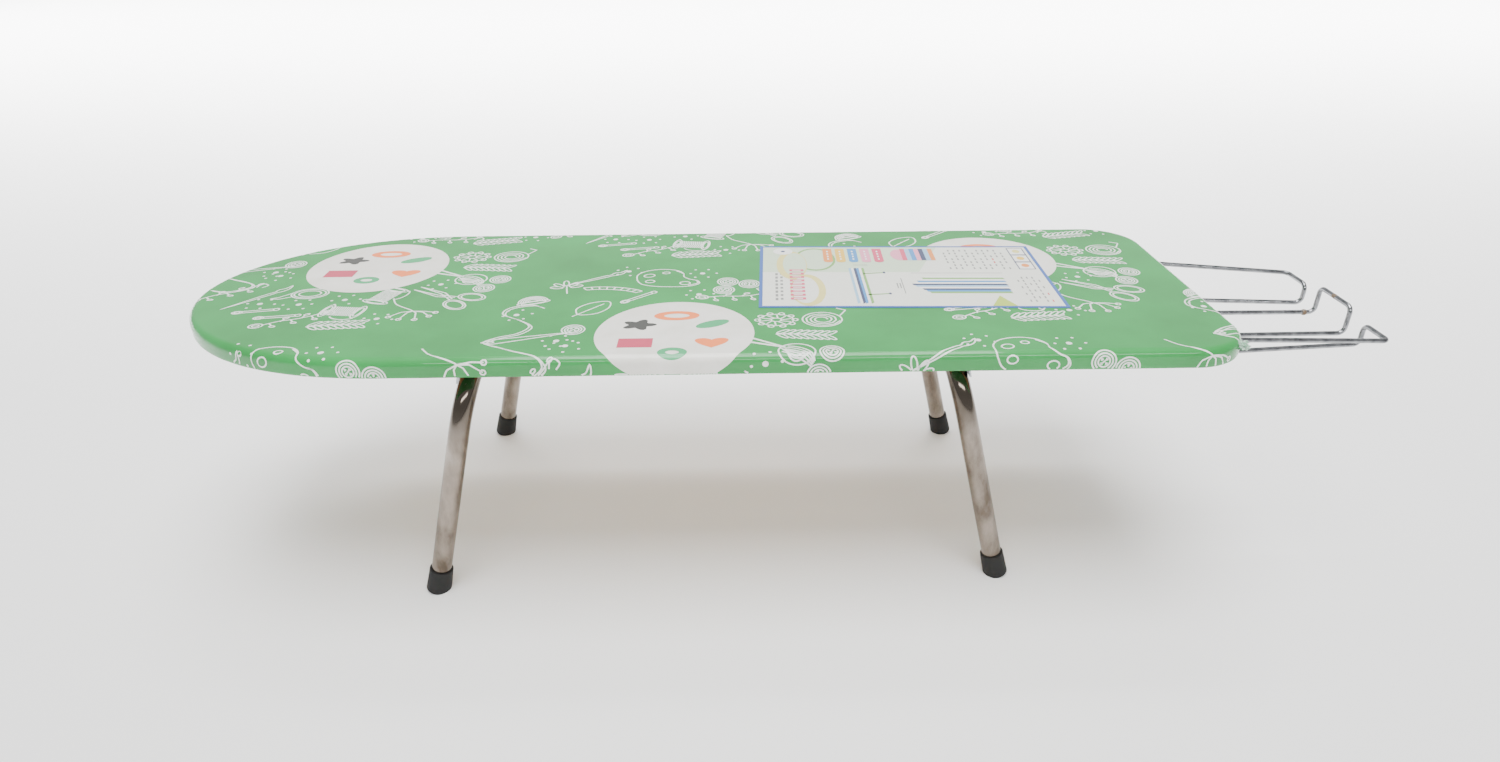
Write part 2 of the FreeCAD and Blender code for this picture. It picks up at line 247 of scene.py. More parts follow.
def rounded_shoulder(inset, top, radius, steps=8):
    """Profile points (inset, height) over the padded edge, from the side to the top."""
    turns = [math.pi / 2 * i / steps for i in range(steps + 1)]
    return [(inset + radius * (1 - math.cos(t)), top - radius * (1 - math.sin(t))) for t in turns]


def top_rings(radius, top):
    """Rings from the shoulder to the board's middle line."""
    insets = [12, 18, 26, 38, 54, 74, 98, 124, 150, 168]
    return [(d * MM, top) for d in insets if d * MM > radius] + [(half_width, top)]


def ring_surface(name, profile, material, shape=None):
    """Surface that carries a profile of (inset, height) round the board's outline."""
    around = stations()
    verts = []
    for row, (inset, height) in enumerate(profile):
        for station in around:
            flat = outline_point(station, inset)
            point = Vector((flat.x, flat.y, height))
            verts.append(shape(point, station, row) if shape else point)
    count = len(around)
    faces = [(row * count + i, row * count + (i + 1) % count,
              (row + 1) * count + (i + 1) % count, (row + 1) * count + i)
             for row in range(len(profile) - 1) for i in range(count)]
    made = mesh_object(name, verts, faces, material)
    body = bmesh.new()
    body.from_mesh(made.data)
    bmesh.ops.remove_doubles(body, verts=body.verts, dist=2e-5)
    bmesh.ops.dissolve_degenerate(body, edges=body.edges, dist=1e-6)
    bmesh.ops.recalc_face_normals(body, faces=body.faces)
    body.to_mesh(made.data)
    body.free()
    made.data.shade_smooth()
    return made


foam_white, tree, shader = new_material("polyurethane_foam", "#E9E2C8", 0.9)
cells = noise_texture(tree, 1.5, detail=4)
tree.links.new(ramp(tree, cells.outputs["Fac"], [(0.3, "#D8CFAE"), (0.7, "#F1EBD6")]),
               shader.inputs["Base Color"])
bump(tree, shader, cells.outputs["Fac"], 0.5)

foam_low, foam_high = (Vector(corner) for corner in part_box("foam_pad"))
panel_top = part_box("board_panel")[1][2]
foam_edge = cloth + 0.1 * MM
foam_inner = foam_edge + foam_skirt
foam_profile = ([(half_width, panel_top + 0.1 * MM), (90 * MM, panel_top + 0.1 * MM),
                 (20 * MM, panel_top + 0.1 * MM), (foam_inner, panel_top + 0.1 * MM),
                 (foam_inner, foam_low.z), (foam_edge, foam_low.z)]
                + rounded_shoulder(foam_edge, foam_high.z, shoulder - foam_edge)
                + top_rings(shoulder, foam_high.z))
foam = ring_surface("foam_pad_shaped", foam_profile, foam_white)
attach(foam, "board")
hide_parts("foam_pad")

# ---------------------------------------------------------------- cover
# Green polycotton cut to the outline with a turn-in all round, pulled tight over the foam and
# stapled to the panel underneath, where it pleats round the nose. A clear wrap is on top of it.

hem_width = 34 * MM
staple_pitch = 48 * MM


def film_coat(shader):
    """The clear polypropylene wrap drawn tight over the board: a smooth, glassy top coat."""
    shader.inputs["Coat Weight"].default_value = 0.8
    shader.inputs["Coat Roughness"].default_value = 0.07
    shader.inputs["Coat IOR"].default_value = 1.5


def film_ripple(tree, shader, weave_height=None):
    """Faint ripples of the wrap, drawn as a bump on the coat; a weave_height, when given, is bumped into
    the cloth.
    """
    ripple = noise_texture(tree, 45, detail=2, stretch=(0.5, 1, 1))
    made = add_node(tree, "ShaderNodeBump", {"Height": ripple.outputs["Fac"]},
                    Distance=0.25 * MM, Strength=0.5)
    tree.links.new(made.outputs["Normal"], shader.inputs["Coat Normal"])
    if weave_height is not None:
        bump(tree, shader, weave_height, 0.12, 0.6)


def weave(tree, pitch_mm):
    """Plain weave height: two sets of threads crossing, on Object coordinates."""
    place = add_node(tree, "ShaderNodeTexCoord")
    waves = [add_node(tree, "ShaderNodeTexWave", {"Vector": place.outputs["Object"]},
                      bands_direction=way, Scale=math.pi / (10 * pitch_mm * MM), Distortion=0.4)
             for way in ("X", "Y")]
    return add_node(tree, "ShaderNodeMath", {0: waves[0].outputs["Fac"], 1: waves[1].outputs["Fac"]},
                    operation="MAXIMUM").outputs["Value"]


# Threads are about 0.4 mm apart on the real cloth and are drawn at 1.2 mm so that they show.
green_cotton, tree, shader = new_material("printed_polycotton_green", "#008A2E", 0.6)
threads = weave(tree, 1.2)
dye = noise_texture(tree, 90, detail=4)
tree.links.new(ramp(tree, dye.outputs["Fac"], [(0.3, "#00842F"), (0.7, "#00993D")]),
               shader.inputs["Base Color"])
film_coat(shader)
film_ripple(tree, shader, threads)


def pulled_cloth(point, station, row):
    """Slight waves where the cover is pulled tight, and pleats in the hem at nose and corners."""
    part, share = station
    bent = {"nose": math.sin(math.pi * share) ** 0.5, "far_corner": 1, "near_corner": 1}.get(part, 0)
    place = Vector((point.x, point.y, 0))
    wave = noise.noise(place * 14) * 0.30 * MM + noise.noise(place * 45) * 0.10 * MM
    if row >= first_top_row:
        return point + Vector((0, 0, wave - 0.1 * MM))
    around = math.atan2(point.y, point.x + 0.35) * 0.35 if part == "nose" else point.x + point.y
    if row >= first_side_row:
        pull = math.cos(2 * math.pi * around / staple_pitch)
        drawn_in = point.y * 0.0012 * (0.6 + 0.4 * pull)
        return point + Vector((0, -drawn_in, wave * 0.4))
    fold = bent * abs(math.sin(math.pi * around / (12 * MM))) * row_share(row) * 1.2 * MM
    ragged = noise.noise(Vector((around * 60, 3, 1))) * 1.2 * MM
    if row == 0 and part != "nose":
        point = point + Vector((0, math.copysign(ragged, point.y), 0))
    return point + Vector((0, 0, wave * 0.2 - fold))


def row_share(row):
    """How far a hem row is from the board's edge, 1 at the cut edge and 0 at the board's edge."""
    return 1 - row / first_side_row


hem_edge_radius = 1.6 * MM
hem_rows = [(hem_width, board_under), (28 * MM, board_under), (20 * MM, board_under),
            (12 * MM, board_under), (6 * MM, board_under)]
under_round = [(hem_edge_radius * (1 - math.sin(t)), board_under + hem_edge_radius * (1 - math.cos(t)))
               for t in (0, math.pi / 6, math.pi / 3, math.pi / 2)]
first_side_row = len(hem_rows)
side_rows = under_round + [(0, board_under + h * MM) for h in (4, 6.5, 9)]
shoulder_rows = rounded_shoulder(0, board_top, shoulder)
first_top_row = first_side_row + len(side_rows) + len(shoulder_rows) - 1
cover_profile = hem_rows + side_rows + shoulder_rows + top_rings(shoulder, board_top)
cover = ring_surface("cover_stretched", cover_profile, green_cotton, pulled_cloth)
skin = cover.modifiers.new("cloth_thickness", "SOLIDIFY")
skin.thickness = cloth * 0.8
skin.offset = -1
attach(cover, "board")
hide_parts("board_cover")

# ---------------------------------------------------------------- staples
# Fine galvanised wire staples, crowns along the hem, driven through the cloth into the plywood.

staple_wire, tree, shader = new_material("galvanised_staple_wire", "#B9BBBD", 0.38, 1.0)
tarnish = noise_texture(tree, 3)
tree.links.new(ramp(tree, tarnish.outputs["Fac"], [(0.3, "#8F9193"), (0.7, "#C9CBCD")]),
               shader.inputs["Base Color"])
finish_node("cover_staples", staple_wire)

# ---------------------------------------------------------------- white sewing print
# Pigment print on the cloth: line drawings of sewing things in a half-drop repeat, which runs
# on over the padded edge. Each stroke is a thin ribbon laid on the cover's surface.

film_print = 0.16 * MM
lattice_step = Vector((344 * MM, 189 * MM))
disc_centre = Vector((square_end - 885 * MM, 65 * MM))
stroke_width = 1.6 * MM

edge_line = [outline_point(s, shoulder) for s in stations()]
edge_xy = np.array([(p.x, p.y) for p in edge_line])
cover_now = cover.evaluated_get(bpy.context.evaluated_depsgraph_get())
cover_tree = BVHTree.FromObject(cover_now, bpy.context.evaluated_depsgraph_get())


def over_edge(x, y):
    """Where a point of the flat cloth lies once the cover is pulled over the edge, or None."""
    start, stop = edge_xy, np.roll(edge_xy, -1, axis=0)
    crossing = (start[:, 1] > y) != (stop[:, 1] > y)
    with np.errstate(divide="ignore", invalid="ignore"):
        meet = (stop[:, 0] - start[:, 0]) * (y - start[:, 1]) / (stop[:, 1] - start[:, 1]) + start[:, 0]
    if np.count_nonzero(crossing & (x < meet)) % 2:
        return Vector((x, y, board_top))
    run = stop - start
    length = np.maximum((run ** 2).sum(1), 1e-12)
    share = np.clip(((x - start[:, 0]) * run[:, 0] + (y - start[:, 1]) * run[:, 1]) / length, 0, 1)
    near = start + run * share[:, None]
    gap = np.hypot(x - near[:, 0], y - near[:, 1])
    best = int(gap.argmin())
    out, foot = float(gap[best]), near[best]
    way = Vector(((x - foot[0]) / max(out, 1e-9), (y - foot[1]) / max(out, 1e-9), 0))
    bend = shoulder * math.pi / 2
    side = board_top - shoulder - board_under
    if out > bend + side - 0.4 * MM:
        return None
    turn = min(out, bend) / shoulder
    drop = shoulder * (1 - math.cos(turn)) + max(out - bend, 0)
    return Vector((foot[0], foot[1], board_top - drop)) + way * shoulder * math.sin(turn)


def lay_on_cover(body, lift):
    """Moves a flat mesh onto the cover and drops what falls below the board's side."""
    lost = []
    for vert in body.verts:
        place = over_edge(vert.co.x, vert.co.y)
        if place is None:
            lost.append(vert)
            continue
        spot, normal, face, gap = cover_tree.find_nearest(place)
        vert.co = spot + normal * (lift + vert.co.z)
    bmesh.ops.delete(body, geom=lost, context="VERTS")
    body.normal_update()
    turned = [face for face in body.faces
              if face.normal.dot(cover_tree.find_nearest(face.calc_center_median())[1]) < 0]
    bmesh.ops.reverse_faces(body, faces=turned)


def arc(radius_x, radius_y=None, start=0, stop=360, steps=28, x=0, y=0, tilt=0):
    """Points of an ellipse or part of one."""
    radius_y = radius_x if radius_y is None else radius_y
    points = []
    for i in range(steps + 1):
        t = math.radians(start + (stop - start) * i / steps)
        a, b = radius_x * math.cos(t), radius_y * math.sin(t)
        c, s = math.cos(math.radians(tilt)), math.sin(math.radians(tilt))
        points.append((x + a * c - b * s, y + a * s + b * c))
    return points


def rounded(points, steps=6):
    """The same line with its corners drawn as one smooth curve through every point."""
    line = []
    padded = [points[0]] + points + [points[-1]]
    for a, b, c, d in zip(padded, padded[1:], padded[2:], padded[3:]):
        for i in range(steps):
            t = i / steps
            line.append(tuple(0.5 * (2 * q + (r - p) * t + (2 * p - 5 * q + 4 * r - s) * t ** 2
                                     + (3 * q - p - 3 * r + s) * t ** 3)
                              for p, q, r, s in zip(a, b, c, d)))
    return line + [points[-1]]


def button(radius=11):
    strokes = [arc(radius), arc(radius * 0.74), arc(radius * 0.5)]
    for x, y in ((-1, -1), (1, -1), (1, 1), (-1, 1)):
        strokes.append(arc(radius * 0.11, x=x * radius * 0.2, y=y * radius * 0.2, steps=8))
    return strokes + [[(-radius * 0.2, -radius * 0.2), (radius * 0.2, radius * 0.2)]]


def yarn_ball(radius=17):
    strokes = [arc(radius, radius * 0.9)]
    for k in range(5):
        strokes.append(arc(radius * 1.3, radius * (0.25 + 0.22 * k), 25, 120, 12, x=-radius * 0.35,
                           y=-radius * 0.55, tilt=-28))
        strokes.append(arc(radius * (0.95 - 0.1 * k), radius * (0.2 + 0.17 * k), 200, 335, 12,
                           x=radius * 0.02 * k, y=radius * 0.18, tilt=-16))
    return strokes


def knitting_needles():
    strokes = []
    for tilt, length in ((-12, 40), (-26, 38)):
        for side in (-0.8, 0.8):
            a = math.radians(tilt)
            strokes.append([(side * math.sin(a), side * math.cos(a)),
                            (-length * math.cos(a), -length * math.sin(a) + side)])
        strokes.append(arc(2.4, x=-length * math.cos(a), y=-length * math.sin(a), steps=10))
    return strokes


def spool(length=34, height=22, flange=15):
    strokes = []
    for side in (-1, 1):
        strokes.append(arc(4.5, flange, x=side * length / 2))
        strokes.append(arc(2.8, flange * 0.72, x=side * length / 2))
    for k in range(12):
        x = -length / 2 + 5 + k * (length - 9) / 11
        strokes.append([(x - 1.5, -height / 2), (x + 0.5, 0), (x - 1, height / 2)])
    return strokes + [arc(14, 9, 200, 330, 10, x=length * 0.2, y=-height * 0.5)]


def scissors(size=1.0):
    strokes = []
    for side in (-1, 1):
        for grow in (1, 0.78):
            strokes.append(arc(15 * size * grow, 9.5 * size * grow, x=20 * size,
                               y=side * 12 * size, tilt=side * 14))
        strokes.append([(8 * size, side * 6 * size), (-14 * size, -side * 2 * size),
                        (-48 * size, -side * 4.5 * size)])
        strokes.append([(-48 * size, -side * 4.5 * size), (-12 * size, -side * 6 * size),
                        (6 * size, side * 2 * size)])
    return strokes + [arc(1.8 * size, x=-8 * size, steps=10)]


def sprig(length=52, pairs=8, leaf=7.5):
    strokes = [[(-length / 2, -2), (0, 1.5), (length / 2, -1)]]
    for k in range(pairs):
        x = -length / 2 + length * (k + 0.5) / pairs
        for side in (-1, 1):
            strokes.append(arc(leaf, leaf * 0.3, x=x + leaf * 0.45, y=side * leaf * 0.62,
                               tilt=side * 42, steps=12))
    return strokes


def berry_sprig(length=58):
    strokes = [rounded([(-length / 2, -10), (-length / 4, -4), (0, -2), (length / 4, 3),
                        (length / 2, 12), (length / 2 + 6, 6), (length / 2, 1)])]
    for k in range(6):
        x = -length / 2 + 6 + k * length * 0.16
        side = 1 if k % 2 else -1
        strokes.append([(x, -8 + k * 2.4), (x + 3, -8 + k * 2.4 + side * 6)])
        strokes.append(arc(3.2, 1.8, x=x + 4, y=-8 + k * 2.4 + side * 8, tilt=side * 30, steps=10))
    return strokes + [arc(6.5, 5, x=-length / 2 - 6, y=-11), arc(3.5, 2.5, x=-length / 2 - 6, y=-11)]


def palette():
    shape = [(-30, -6), (-31, 10), (-22, 22), (-6, 27), (10, 24), (19, 14), (20, 4), (27, -4),
             (35, -8), (37, -17), (26, -24), (8, -25), (-10, -23), (-24, -17), (-30, -6)]
    holes = [arc(6, 4.5, x=-18, y=8, tilt=20), arc(5, 4, x=-16, y=-9), arc(5.5, 4.5, x=22, y=-15),
             arc(4, 3, x=0, y=16)]
    inner = [(x * 0.9 + 2, y * 0.9) for x, y in shape[4:11]]
    return [rounded(shape), rounded(inner)] + holes


def thread_curl():
    line = [(20, 66), (8, 73), (-12, 66), (-16, 50), (2, 36), (16, 20), (8, 4), (-8, -4),
            (-20, -16), (-4, -26), (10, -34), (34, -46), (40, -58), (22, -70), (2, -66)]
    needle = [[(-22, -16), (-14, -10), (64, 6), (-12, -20), (-22, -16)], arc(5, 2, x=-15, y=-15)]
    return [rounded(line), rounded([(x + 3.2, y - 2.2) for x, y in line])] + needle


def safety_pin(length=34):
    return [[(-length / 2, 2), (length / 2, 3)], [(-length / 2, -2), (length / 2 - 3, -1.5)],
            arc(3, x=length / 2, y=0.8, steps=12), arc(5, 3.4, x=-length / 2 - 3),
            arc(3, 2, x=-length / 2 - 3)]


def tape_roll(radius=18):
    turns = [(radius * (0.3 + 0.7 * t / 30) * math.cos(t * 0.62),
              radius * (0.3 + 0.7 * t / 30) * 0.86 * math.sin(t * 0.62)) for t in range(31)]
    return [turns, arc(radius * 1.08, radius * 0.95), [(radius, 8), (radius * 1.4, 22), (radius * 0.9, 27)]]


def paint_brush(length=72):
    half = length / 2
    tip = [(half - 14, 1.5), (half - 8, 4.5), (half - 2, 2.5), (half + 7, 5), (half, -1.5),
           (half - 8, -3), (half - 14, -1.5)]
    tip = rounded(tip)
    return [[(-half, 0), (0, 2), (half - 20, 2.4)], [(-half, 0), (0, -1.6), (half - 20, -2)], tip,
            [(half - 20, 2.4), (half - 14, 1.5)], [(half - 20, -2), (half - 14, -1.5)]]


def pencil(length=38):
    half = length / 2
    body = [(-half, -6), (half - 12, -6), (half, 0), (half - 12, 6), (-half, 6), (-half, -6)]
    return [body, [(-half, -2), (half - 12, -2)], [(-half, 2), (half - 12, 2)],
            [(half - 12, -6), (half - 9, 0), (half - 12, 6)], [(half - 4, -2), (half - 4, 2)]]


def headed_pins():
    strokes = [rounded([(-30, 34), (-22, 18), (-4, 4), (0, 0)])]
    for x, y in ((-20, -14), (-8, -20), (8, -21), (20, -13), (24, -4)):
        strokes.append([(0, 0), (x * 0.55, y * 0.2), (x, y)])
        strokes.append(arc(2.6, x=x, y=y, steps=10))
    return strokes


def measuring_strip(length=44):
    outer = arc(48, 26, 40, 125, 16, y=-22)
    inner = arc(40, 19, 40, 125, 16, y=-22)
    rungs = [[outer[i], inner[i]] for i in range(0, 17, 2)]
    return [outer, inner] + rungs


def leaf_fan():
    strokes = [[(0, -20), (0, 0)]]
    for tilt, reach in ((90, 13), (48, 12), (132, 12), (15, 11), (165, 11)):
        a = math.radians(tilt)
        strokes.append(arc(reach * 0.62, 2.9, x=math.cos(a) * reach, y=math.sin(a) * reach - 4,
                           tilt=tilt, steps=14))
    return strokes


def thimble():
    strokes = [arc(15 - 2.4 * k, 13 - 1.9 * k, -10, 190, 14) for k in range(5)]
    return strokes + [arc(17, 4, y=-3), arc(13, 2.6, y=-3)]


def pin_cushion(radius=17):
    strokes = [arc(radius, radius * 0.8), arc(radius * 0.3, radius * 0.25)]
    for k in range(10):
        a = 2 * math.pi * k / 10
        strokes.append([(radius * 0.32 * math.cos(a), radius * 0.26 * math.sin(a)),
                        (radius * 0.9 * math.cos(a + 0.25), radius * 0.7 * math.sin(a + 0.25))])
        strokes.append(arc(3, x=radius * 1.08 * math.cos(a), y=radius * 0.9 * math.sin(a), steps=8))
    return strokes


def tape_loop(radius=19):
    return [arc(radius, radius * 0.72), arc(radius * 0.86, radius * 0.58), arc(radius * 0.6, radius * 0.4),
            [(-radius, 2), (-radius * 1.5, -9), (-radius * 1.9, -13)],
            [(-radius * 0.8, -8), (-radius * 1.4, -14), (-radius * 1.9, -13)]]


def plain_leaf():
    edge = [(-14, -14), (-16, 0), (-4, 14), (14, 18), (16, 2), (6, -12), (-8, -16), (-14, -14)]
    return [rounded(edge),
            [(-18, -20), (-6, -6), (10, 12)]]


# One repeat of the print, in mm from the disc's centre: drawing, place, turn in degrees.
drawings = [
    (yarn_ball, 114, -42, 0), (knitting_needles, 104, -34, -8), (button, 146, -43, 20),
    (button, 134, -68, 60), (pin_cushion, 98, 28, 0), (tape_roll, 143, 28, 0), (sprig, 122, -6, -6),
    (scissors, 104, -92, -32), (headed_pins, 77, -128, 0), (spool, 6, -126, -8),
    (spool, 36, -86, 70), (sprig, 10, -160, 4), (tape_loop, -46, -78, 0), (safety_pin, -80, -123, 10),
    (safety_pin, -52, -138, 8), (paint_brush, -98, -90, 50), (berry_sprig, -132, -70, 20),
    (berry_sprig, -34, -142, 12), (button, -98, 11, 0), (thread_curl, -158, 0, 0),
    (thimble, -150, 82, 20), (leaf_fan, -122, 122, 10), (measuring_strip, -76, 116, -6),
    (paint_brush, -96, 142, 32), (palette, -18, 143, 0), (button, 50, 131, 0), (button, 73, 124, 40),
    (button, 46, 108, 15), (pencil, 100, 114, 28), (headed_pins, 150, 136, 14),
    (plain_leaf, -86, 62, 0), (sprig, 112, 82, 12), (berry_sprig, 60, 92, -12),
    (safety_pin, -40, 92, 40)]
dot_clusters = [(85, -56), (47, -146), (-3, -96), (-87, -104), (-46, -107), (-100, -25), (-160, 48),
                (-110, -14), (-60, 165), (22, 156), (20, 96), (158, 96)]
dot_ring = 13

strokes_data = bpy.data.curves.new("print_repeat_lines", "CURVE")
strokes_data.dimensions = "2D"
for draw, x, y, turn in drawings:
    c, s = math.cos(math.radians(turn)), math.sin(math.radians(turn))
    for line in draw():
        spline = strokes_data.splines.new("POLY")
        spline.points.add(len(line) - 1)
        for point, (a, b) in zip(spline.points, line):
            point.co = ((x + a * c - b * s) * MM, (y + a * s + b * c) * MM, 0, 1)
repeat_lines = bpy.data.objects.new("print_repeat_lines", strokes_data)

dots_data = bpy.data.meshes.new("print_repeat_dots")
dots = bmesh.new()
for x, y in dot_clusters:
    spots = [(x, y, 3.0)] + [(x + dot_ring * math.cos(k * math.pi / 3 + x) * (1 + 0.2 * (k % 2)),
                              y + dot_ring * math.sin(k * math.pi / 3 + x), 1.5) for k in range(6)]
    for a, b, radius in spots:
        bmesh.ops.create_circle(dots, cap_ends=True, segments=10, radius=radius * MM,
                                matrix=Matrix.Translation((a * MM, b * MM, 0)))
dots.to_mesh(dots_data)
dots.free()
repeat_dots = bpy.data.objects.new("print_repeat_dots", dots_data)

white_ink, tree, shader = new_material("white_pigment_print", "#E9EFE6", 0.55)
ink_patches = noise_texture(tree, 2.5, detail=3)
tree.links.new(ramp(tree, ink_patches.outputs["Fac"], [(0.25, "#C9E4CF"), (0.5, "#F1F3EE")]),
               shader.inputs["Base Color"])
film_coat(shader)

repeat_tree = bpy.data.node_groups.new("print_half_drop_repeat", "GeometryNodeTree")
for name, kind, way in (("Geometry", "NodeSocketGeometry", "INPUT"),
                        ("Line width", "NodeSocketFloat", "INPUT"),
                        ("Step", "NodeSocketFloat", "INPUT"),
                        ("Geometry", "NodeSocketGeometry", "OUTPUT")):
    repeat_tree.interface.new_socket(name, in_out=way, socket_type=kind)
entry = add_node(repeat_tree, "NodeGroupInput")
lines_in = add_node(repeat_tree, "GeometryNodeObjectInfo")
lines_in.inputs["Object"].default_value = repeat_lines
dots_in = add_node(repeat_tree, "GeometryNodeObjectInfo")
dots_in.inputs["Object"].default_value = repeat_dots
even = add_node(repeat_tree, "GeometryNodeResampleCurve",
                {"Curve": lines_in.outputs["Geometry"], "Length": entry.outputs["Step"]},
                mode="LENGTH")
half_line = add_node(repeat_tree, "ShaderNodeMath", {0: entry.outputs["Line width"]},
                     operation="MULTIPLY")
half_line.inputs[1].default_value = 0.5
minus = add_node(repeat_tree, "ShaderNodeMath", {0: half_line.outputs["Value"]}, operation="MULTIPLY")
minus.inputs[1].default_value = -1
ends = [add_node(repeat_tree, "ShaderNodeCombineXYZ", {"X": side.outputs["Value"]})
        for side in (minus, half_line)]
nib = add_node(repeat_tree, "GeometryNodeCurvePrimitiveLine",
               {"Start": ends[0].outputs["Vector"], "End": ends[1].outputs["Vector"]})
flat = add_node(repeat_tree, "GeometryNodeSetCurveNormal", {"Curve": even.outputs["Curve"]},
                mode="Z_UP")
ribbon = add_node(repeat_tree, "GeometryNodeCurveToMesh",
                  {"Curve": flat.outputs["Curve"], "Profile Curve": nib.outputs["Curve"]})
both = add_node(repeat_tree, "GeometryNodeJoinGeometry")
repeat_tree.links.new(ribbon.outputs["Mesh"], both.inputs["Geometry"])
repeat_tree.links.new(dots_in.outputs["Geometry"], both.inputs["Geometry"])
stamp = add_node(repeat_tree, "GeometryNodeInstanceOnPoints",
                 {"Points": entry.outputs["Geometry"], "Instance": both.outputs["Geometry"]})
real = add_node(repeat_tree, "GeometryNodeRealizeInstances", {"Geometry": stamp.outputs["Instances"]})
inked = add_node(repeat_tree, "GeometryNodeSetMaterial", {"Geometry": real.outputs["Geometry"]},
                 Material=white_ink)
add_node(repeat_tree, "NodeGroupOutput", {"Geometry": inked.outputs["Geometry"]})

repeats = range(-4, 6)
lattice = [(disc_centre.x + lattice_step.x * (i + j), disc_centre.y + lattice_step.y * (j - i), 0)
           for i in repeats for j in repeats
           if abs(disc_centre.y + lattice_step.y * (j - i)) < 0.45
           and nose_tip - 0.3 < disc_centre.x + lattice_step.x * (i + j) < square_end + 0.3]


def grown_mesh(name, points, group, values):
    """Plain mesh object from a Geometry Nodes tree grown on points, modifier removed."""
    seed = mesh_object(name + "_points", points, [], [])
    grow = seed.modifiers.new("grow", "NODES")
    grow.node_group = group
    for item in group.interface.items_tree:
        if item.in_out == "INPUT" and item.name in values:
            grow[item.identifier] = values[item.name]
    graph = bpy.context.evaluated_depsgraph_get()
    mesh = bpy.data.meshes.new_from_object(seed.evaluated_get(graph), depsgraph=graph)
    bpy.data.objects.remove(seed)
    made = bpy.data.objects.new(name, mesh)
    mesh.name = name
    bpy.context.collection.objects.link(made)
    return made


line_print = grown_mesh("sewing_print", lattice, repeat_tree,
                        {"Line width": stroke_width, "Step": 2 * MM})
disc_radius = 76 * MM
disc_places = [Vector(p[:2]) for p in lattice]
inked_body = bmesh.new()
inked_body.from_mesh(line_print.data)
low, high = nose_tip - 0.05, square_end + 0.05
hidden = [v for v in inked_body.verts if not low < v.co.x < high or abs(v.co.y) > half_width + 0.03
          or any((v.co.xy - place).length < disc_radius - 1 * MM for place in disc_places)]
bmesh.ops.delete(inked_body, geom=hidden, context="VERTS")
lay_on_cover(inked_body, film_print)
inked_body.to_mesh(line_print.data)
inked_body.free()
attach(line_print, "board")

# ---------------------------------------------------------------- printed discs
# A plain white disc in every repeat, with a wreath of six coloured haberdashery shapes on it.


def refine(body, longest):
    """Cuts a flat mesh into small faces, smallest where it has to bend over the board's edge."""
    for cut in range(8):
        wide = [e for e in body.edges if e.calc_length() > longest
                * (0.3 if abs((e.verts[0].co.y + e.verts[1].co.y) / 2) > half_width - 16 * MM else 1)]
        if not wide:
            break
        bmesh.ops.subdivide_edges(body, edges=wide, cuts=1)
        bmesh.ops.triangulate(body, faces=[f for f in body.faces if len(f.verts) > 3])


def disc_shapes():
    """Coloured shapes as (ink, outline, hole) in mm, in the disc's own frame."""
    petals = [(11 * (1 + 0.28 * math.cos(5 * t)) * math.cos(t),
               8 * (1 + 0.28 * math.cos(5 * t)) * math.sin(t))
              for t in [2 * math.pi * k / 40 for k in range(40)]]
    reel = [(-13, -8), (13, -8), (13, -4.5), (8, -4.5), (8, 4.5), (13, 4.5), (13, 8), (-13, 8),
            (-13, 4.5), (-8, 4.5), (-8, -4.5), (-13, -4.5)]
    leaf = arc(14, 6, steps=20, tilt=25)[:-1]
    heart = [(16 * math.sin(t) ** 3 * 0.8,
              (13 * math.cos(t) - 5 * math.cos(2 * t) - 2 * math.cos(3 * t)) * 0.62)
             for t in [2 * math.pi * k / 32 for k in range(32)]]
    ring, hole = arc(18, 9, steps=28)[:-1], arc(10, 4, steps=28)[:-1]
    bead, bead_hole = arc(11, 8, steps=24)[:-1], arc(5, 3, steps=24)[:-1]
    shapes = [("green", leaf, None), ("orange", ring, hole), ("charcoal", petals, None),
              ("crimson", reel, None), ("green", bead, bead_hole), ("orange", heart, None)]
    wreath, sixth = 33, math.pi / 3
    return [(ink, shape, gap, wreath * math.cos(sixth * (k + 0.5)), wreath * math.sin(sixth * (k + 0.5)))
            for k, (ink, shape, gap) in enumerate(shapes)]


ink_colors = {"charcoal": "#33342F", "crimson": "#C93A5B", "orange": "#FF8038", "green": "#2FA868"}
inks = {}
for ink, color in ink_colors.items():
    inks[ink], tree, shader = new_material(ink + "_pigment_print", color, 0.5)
    patchy = noise_texture(tree, 6)
    tint = add_node(tree, "ShaderNodeHueSaturation", {"Value": add_node(
        tree, "ShaderNodeMapRange", {"Value": patchy.outputs["Fac"]}, To_Min=0.92,
        To_Max=1.08).outputs["Result"]}, Color=srgb(color))
    tree.links.new(tint.outputs["Color"], shader.inputs["Base Color"])
    film_coat(shader)
disc_white, tree, shader = new_material("white_pigment_disc", "#EDEBE2", 0.55)
soft = noise_texture(tree, 30)
tree.links.new(ramp(tree, soft.outputs["Fac"], [(0.3, "#E6E4DA"), (0.7, "#F3F1EA")]),
               shader.inputs["Base Color"])
film_coat(shader)

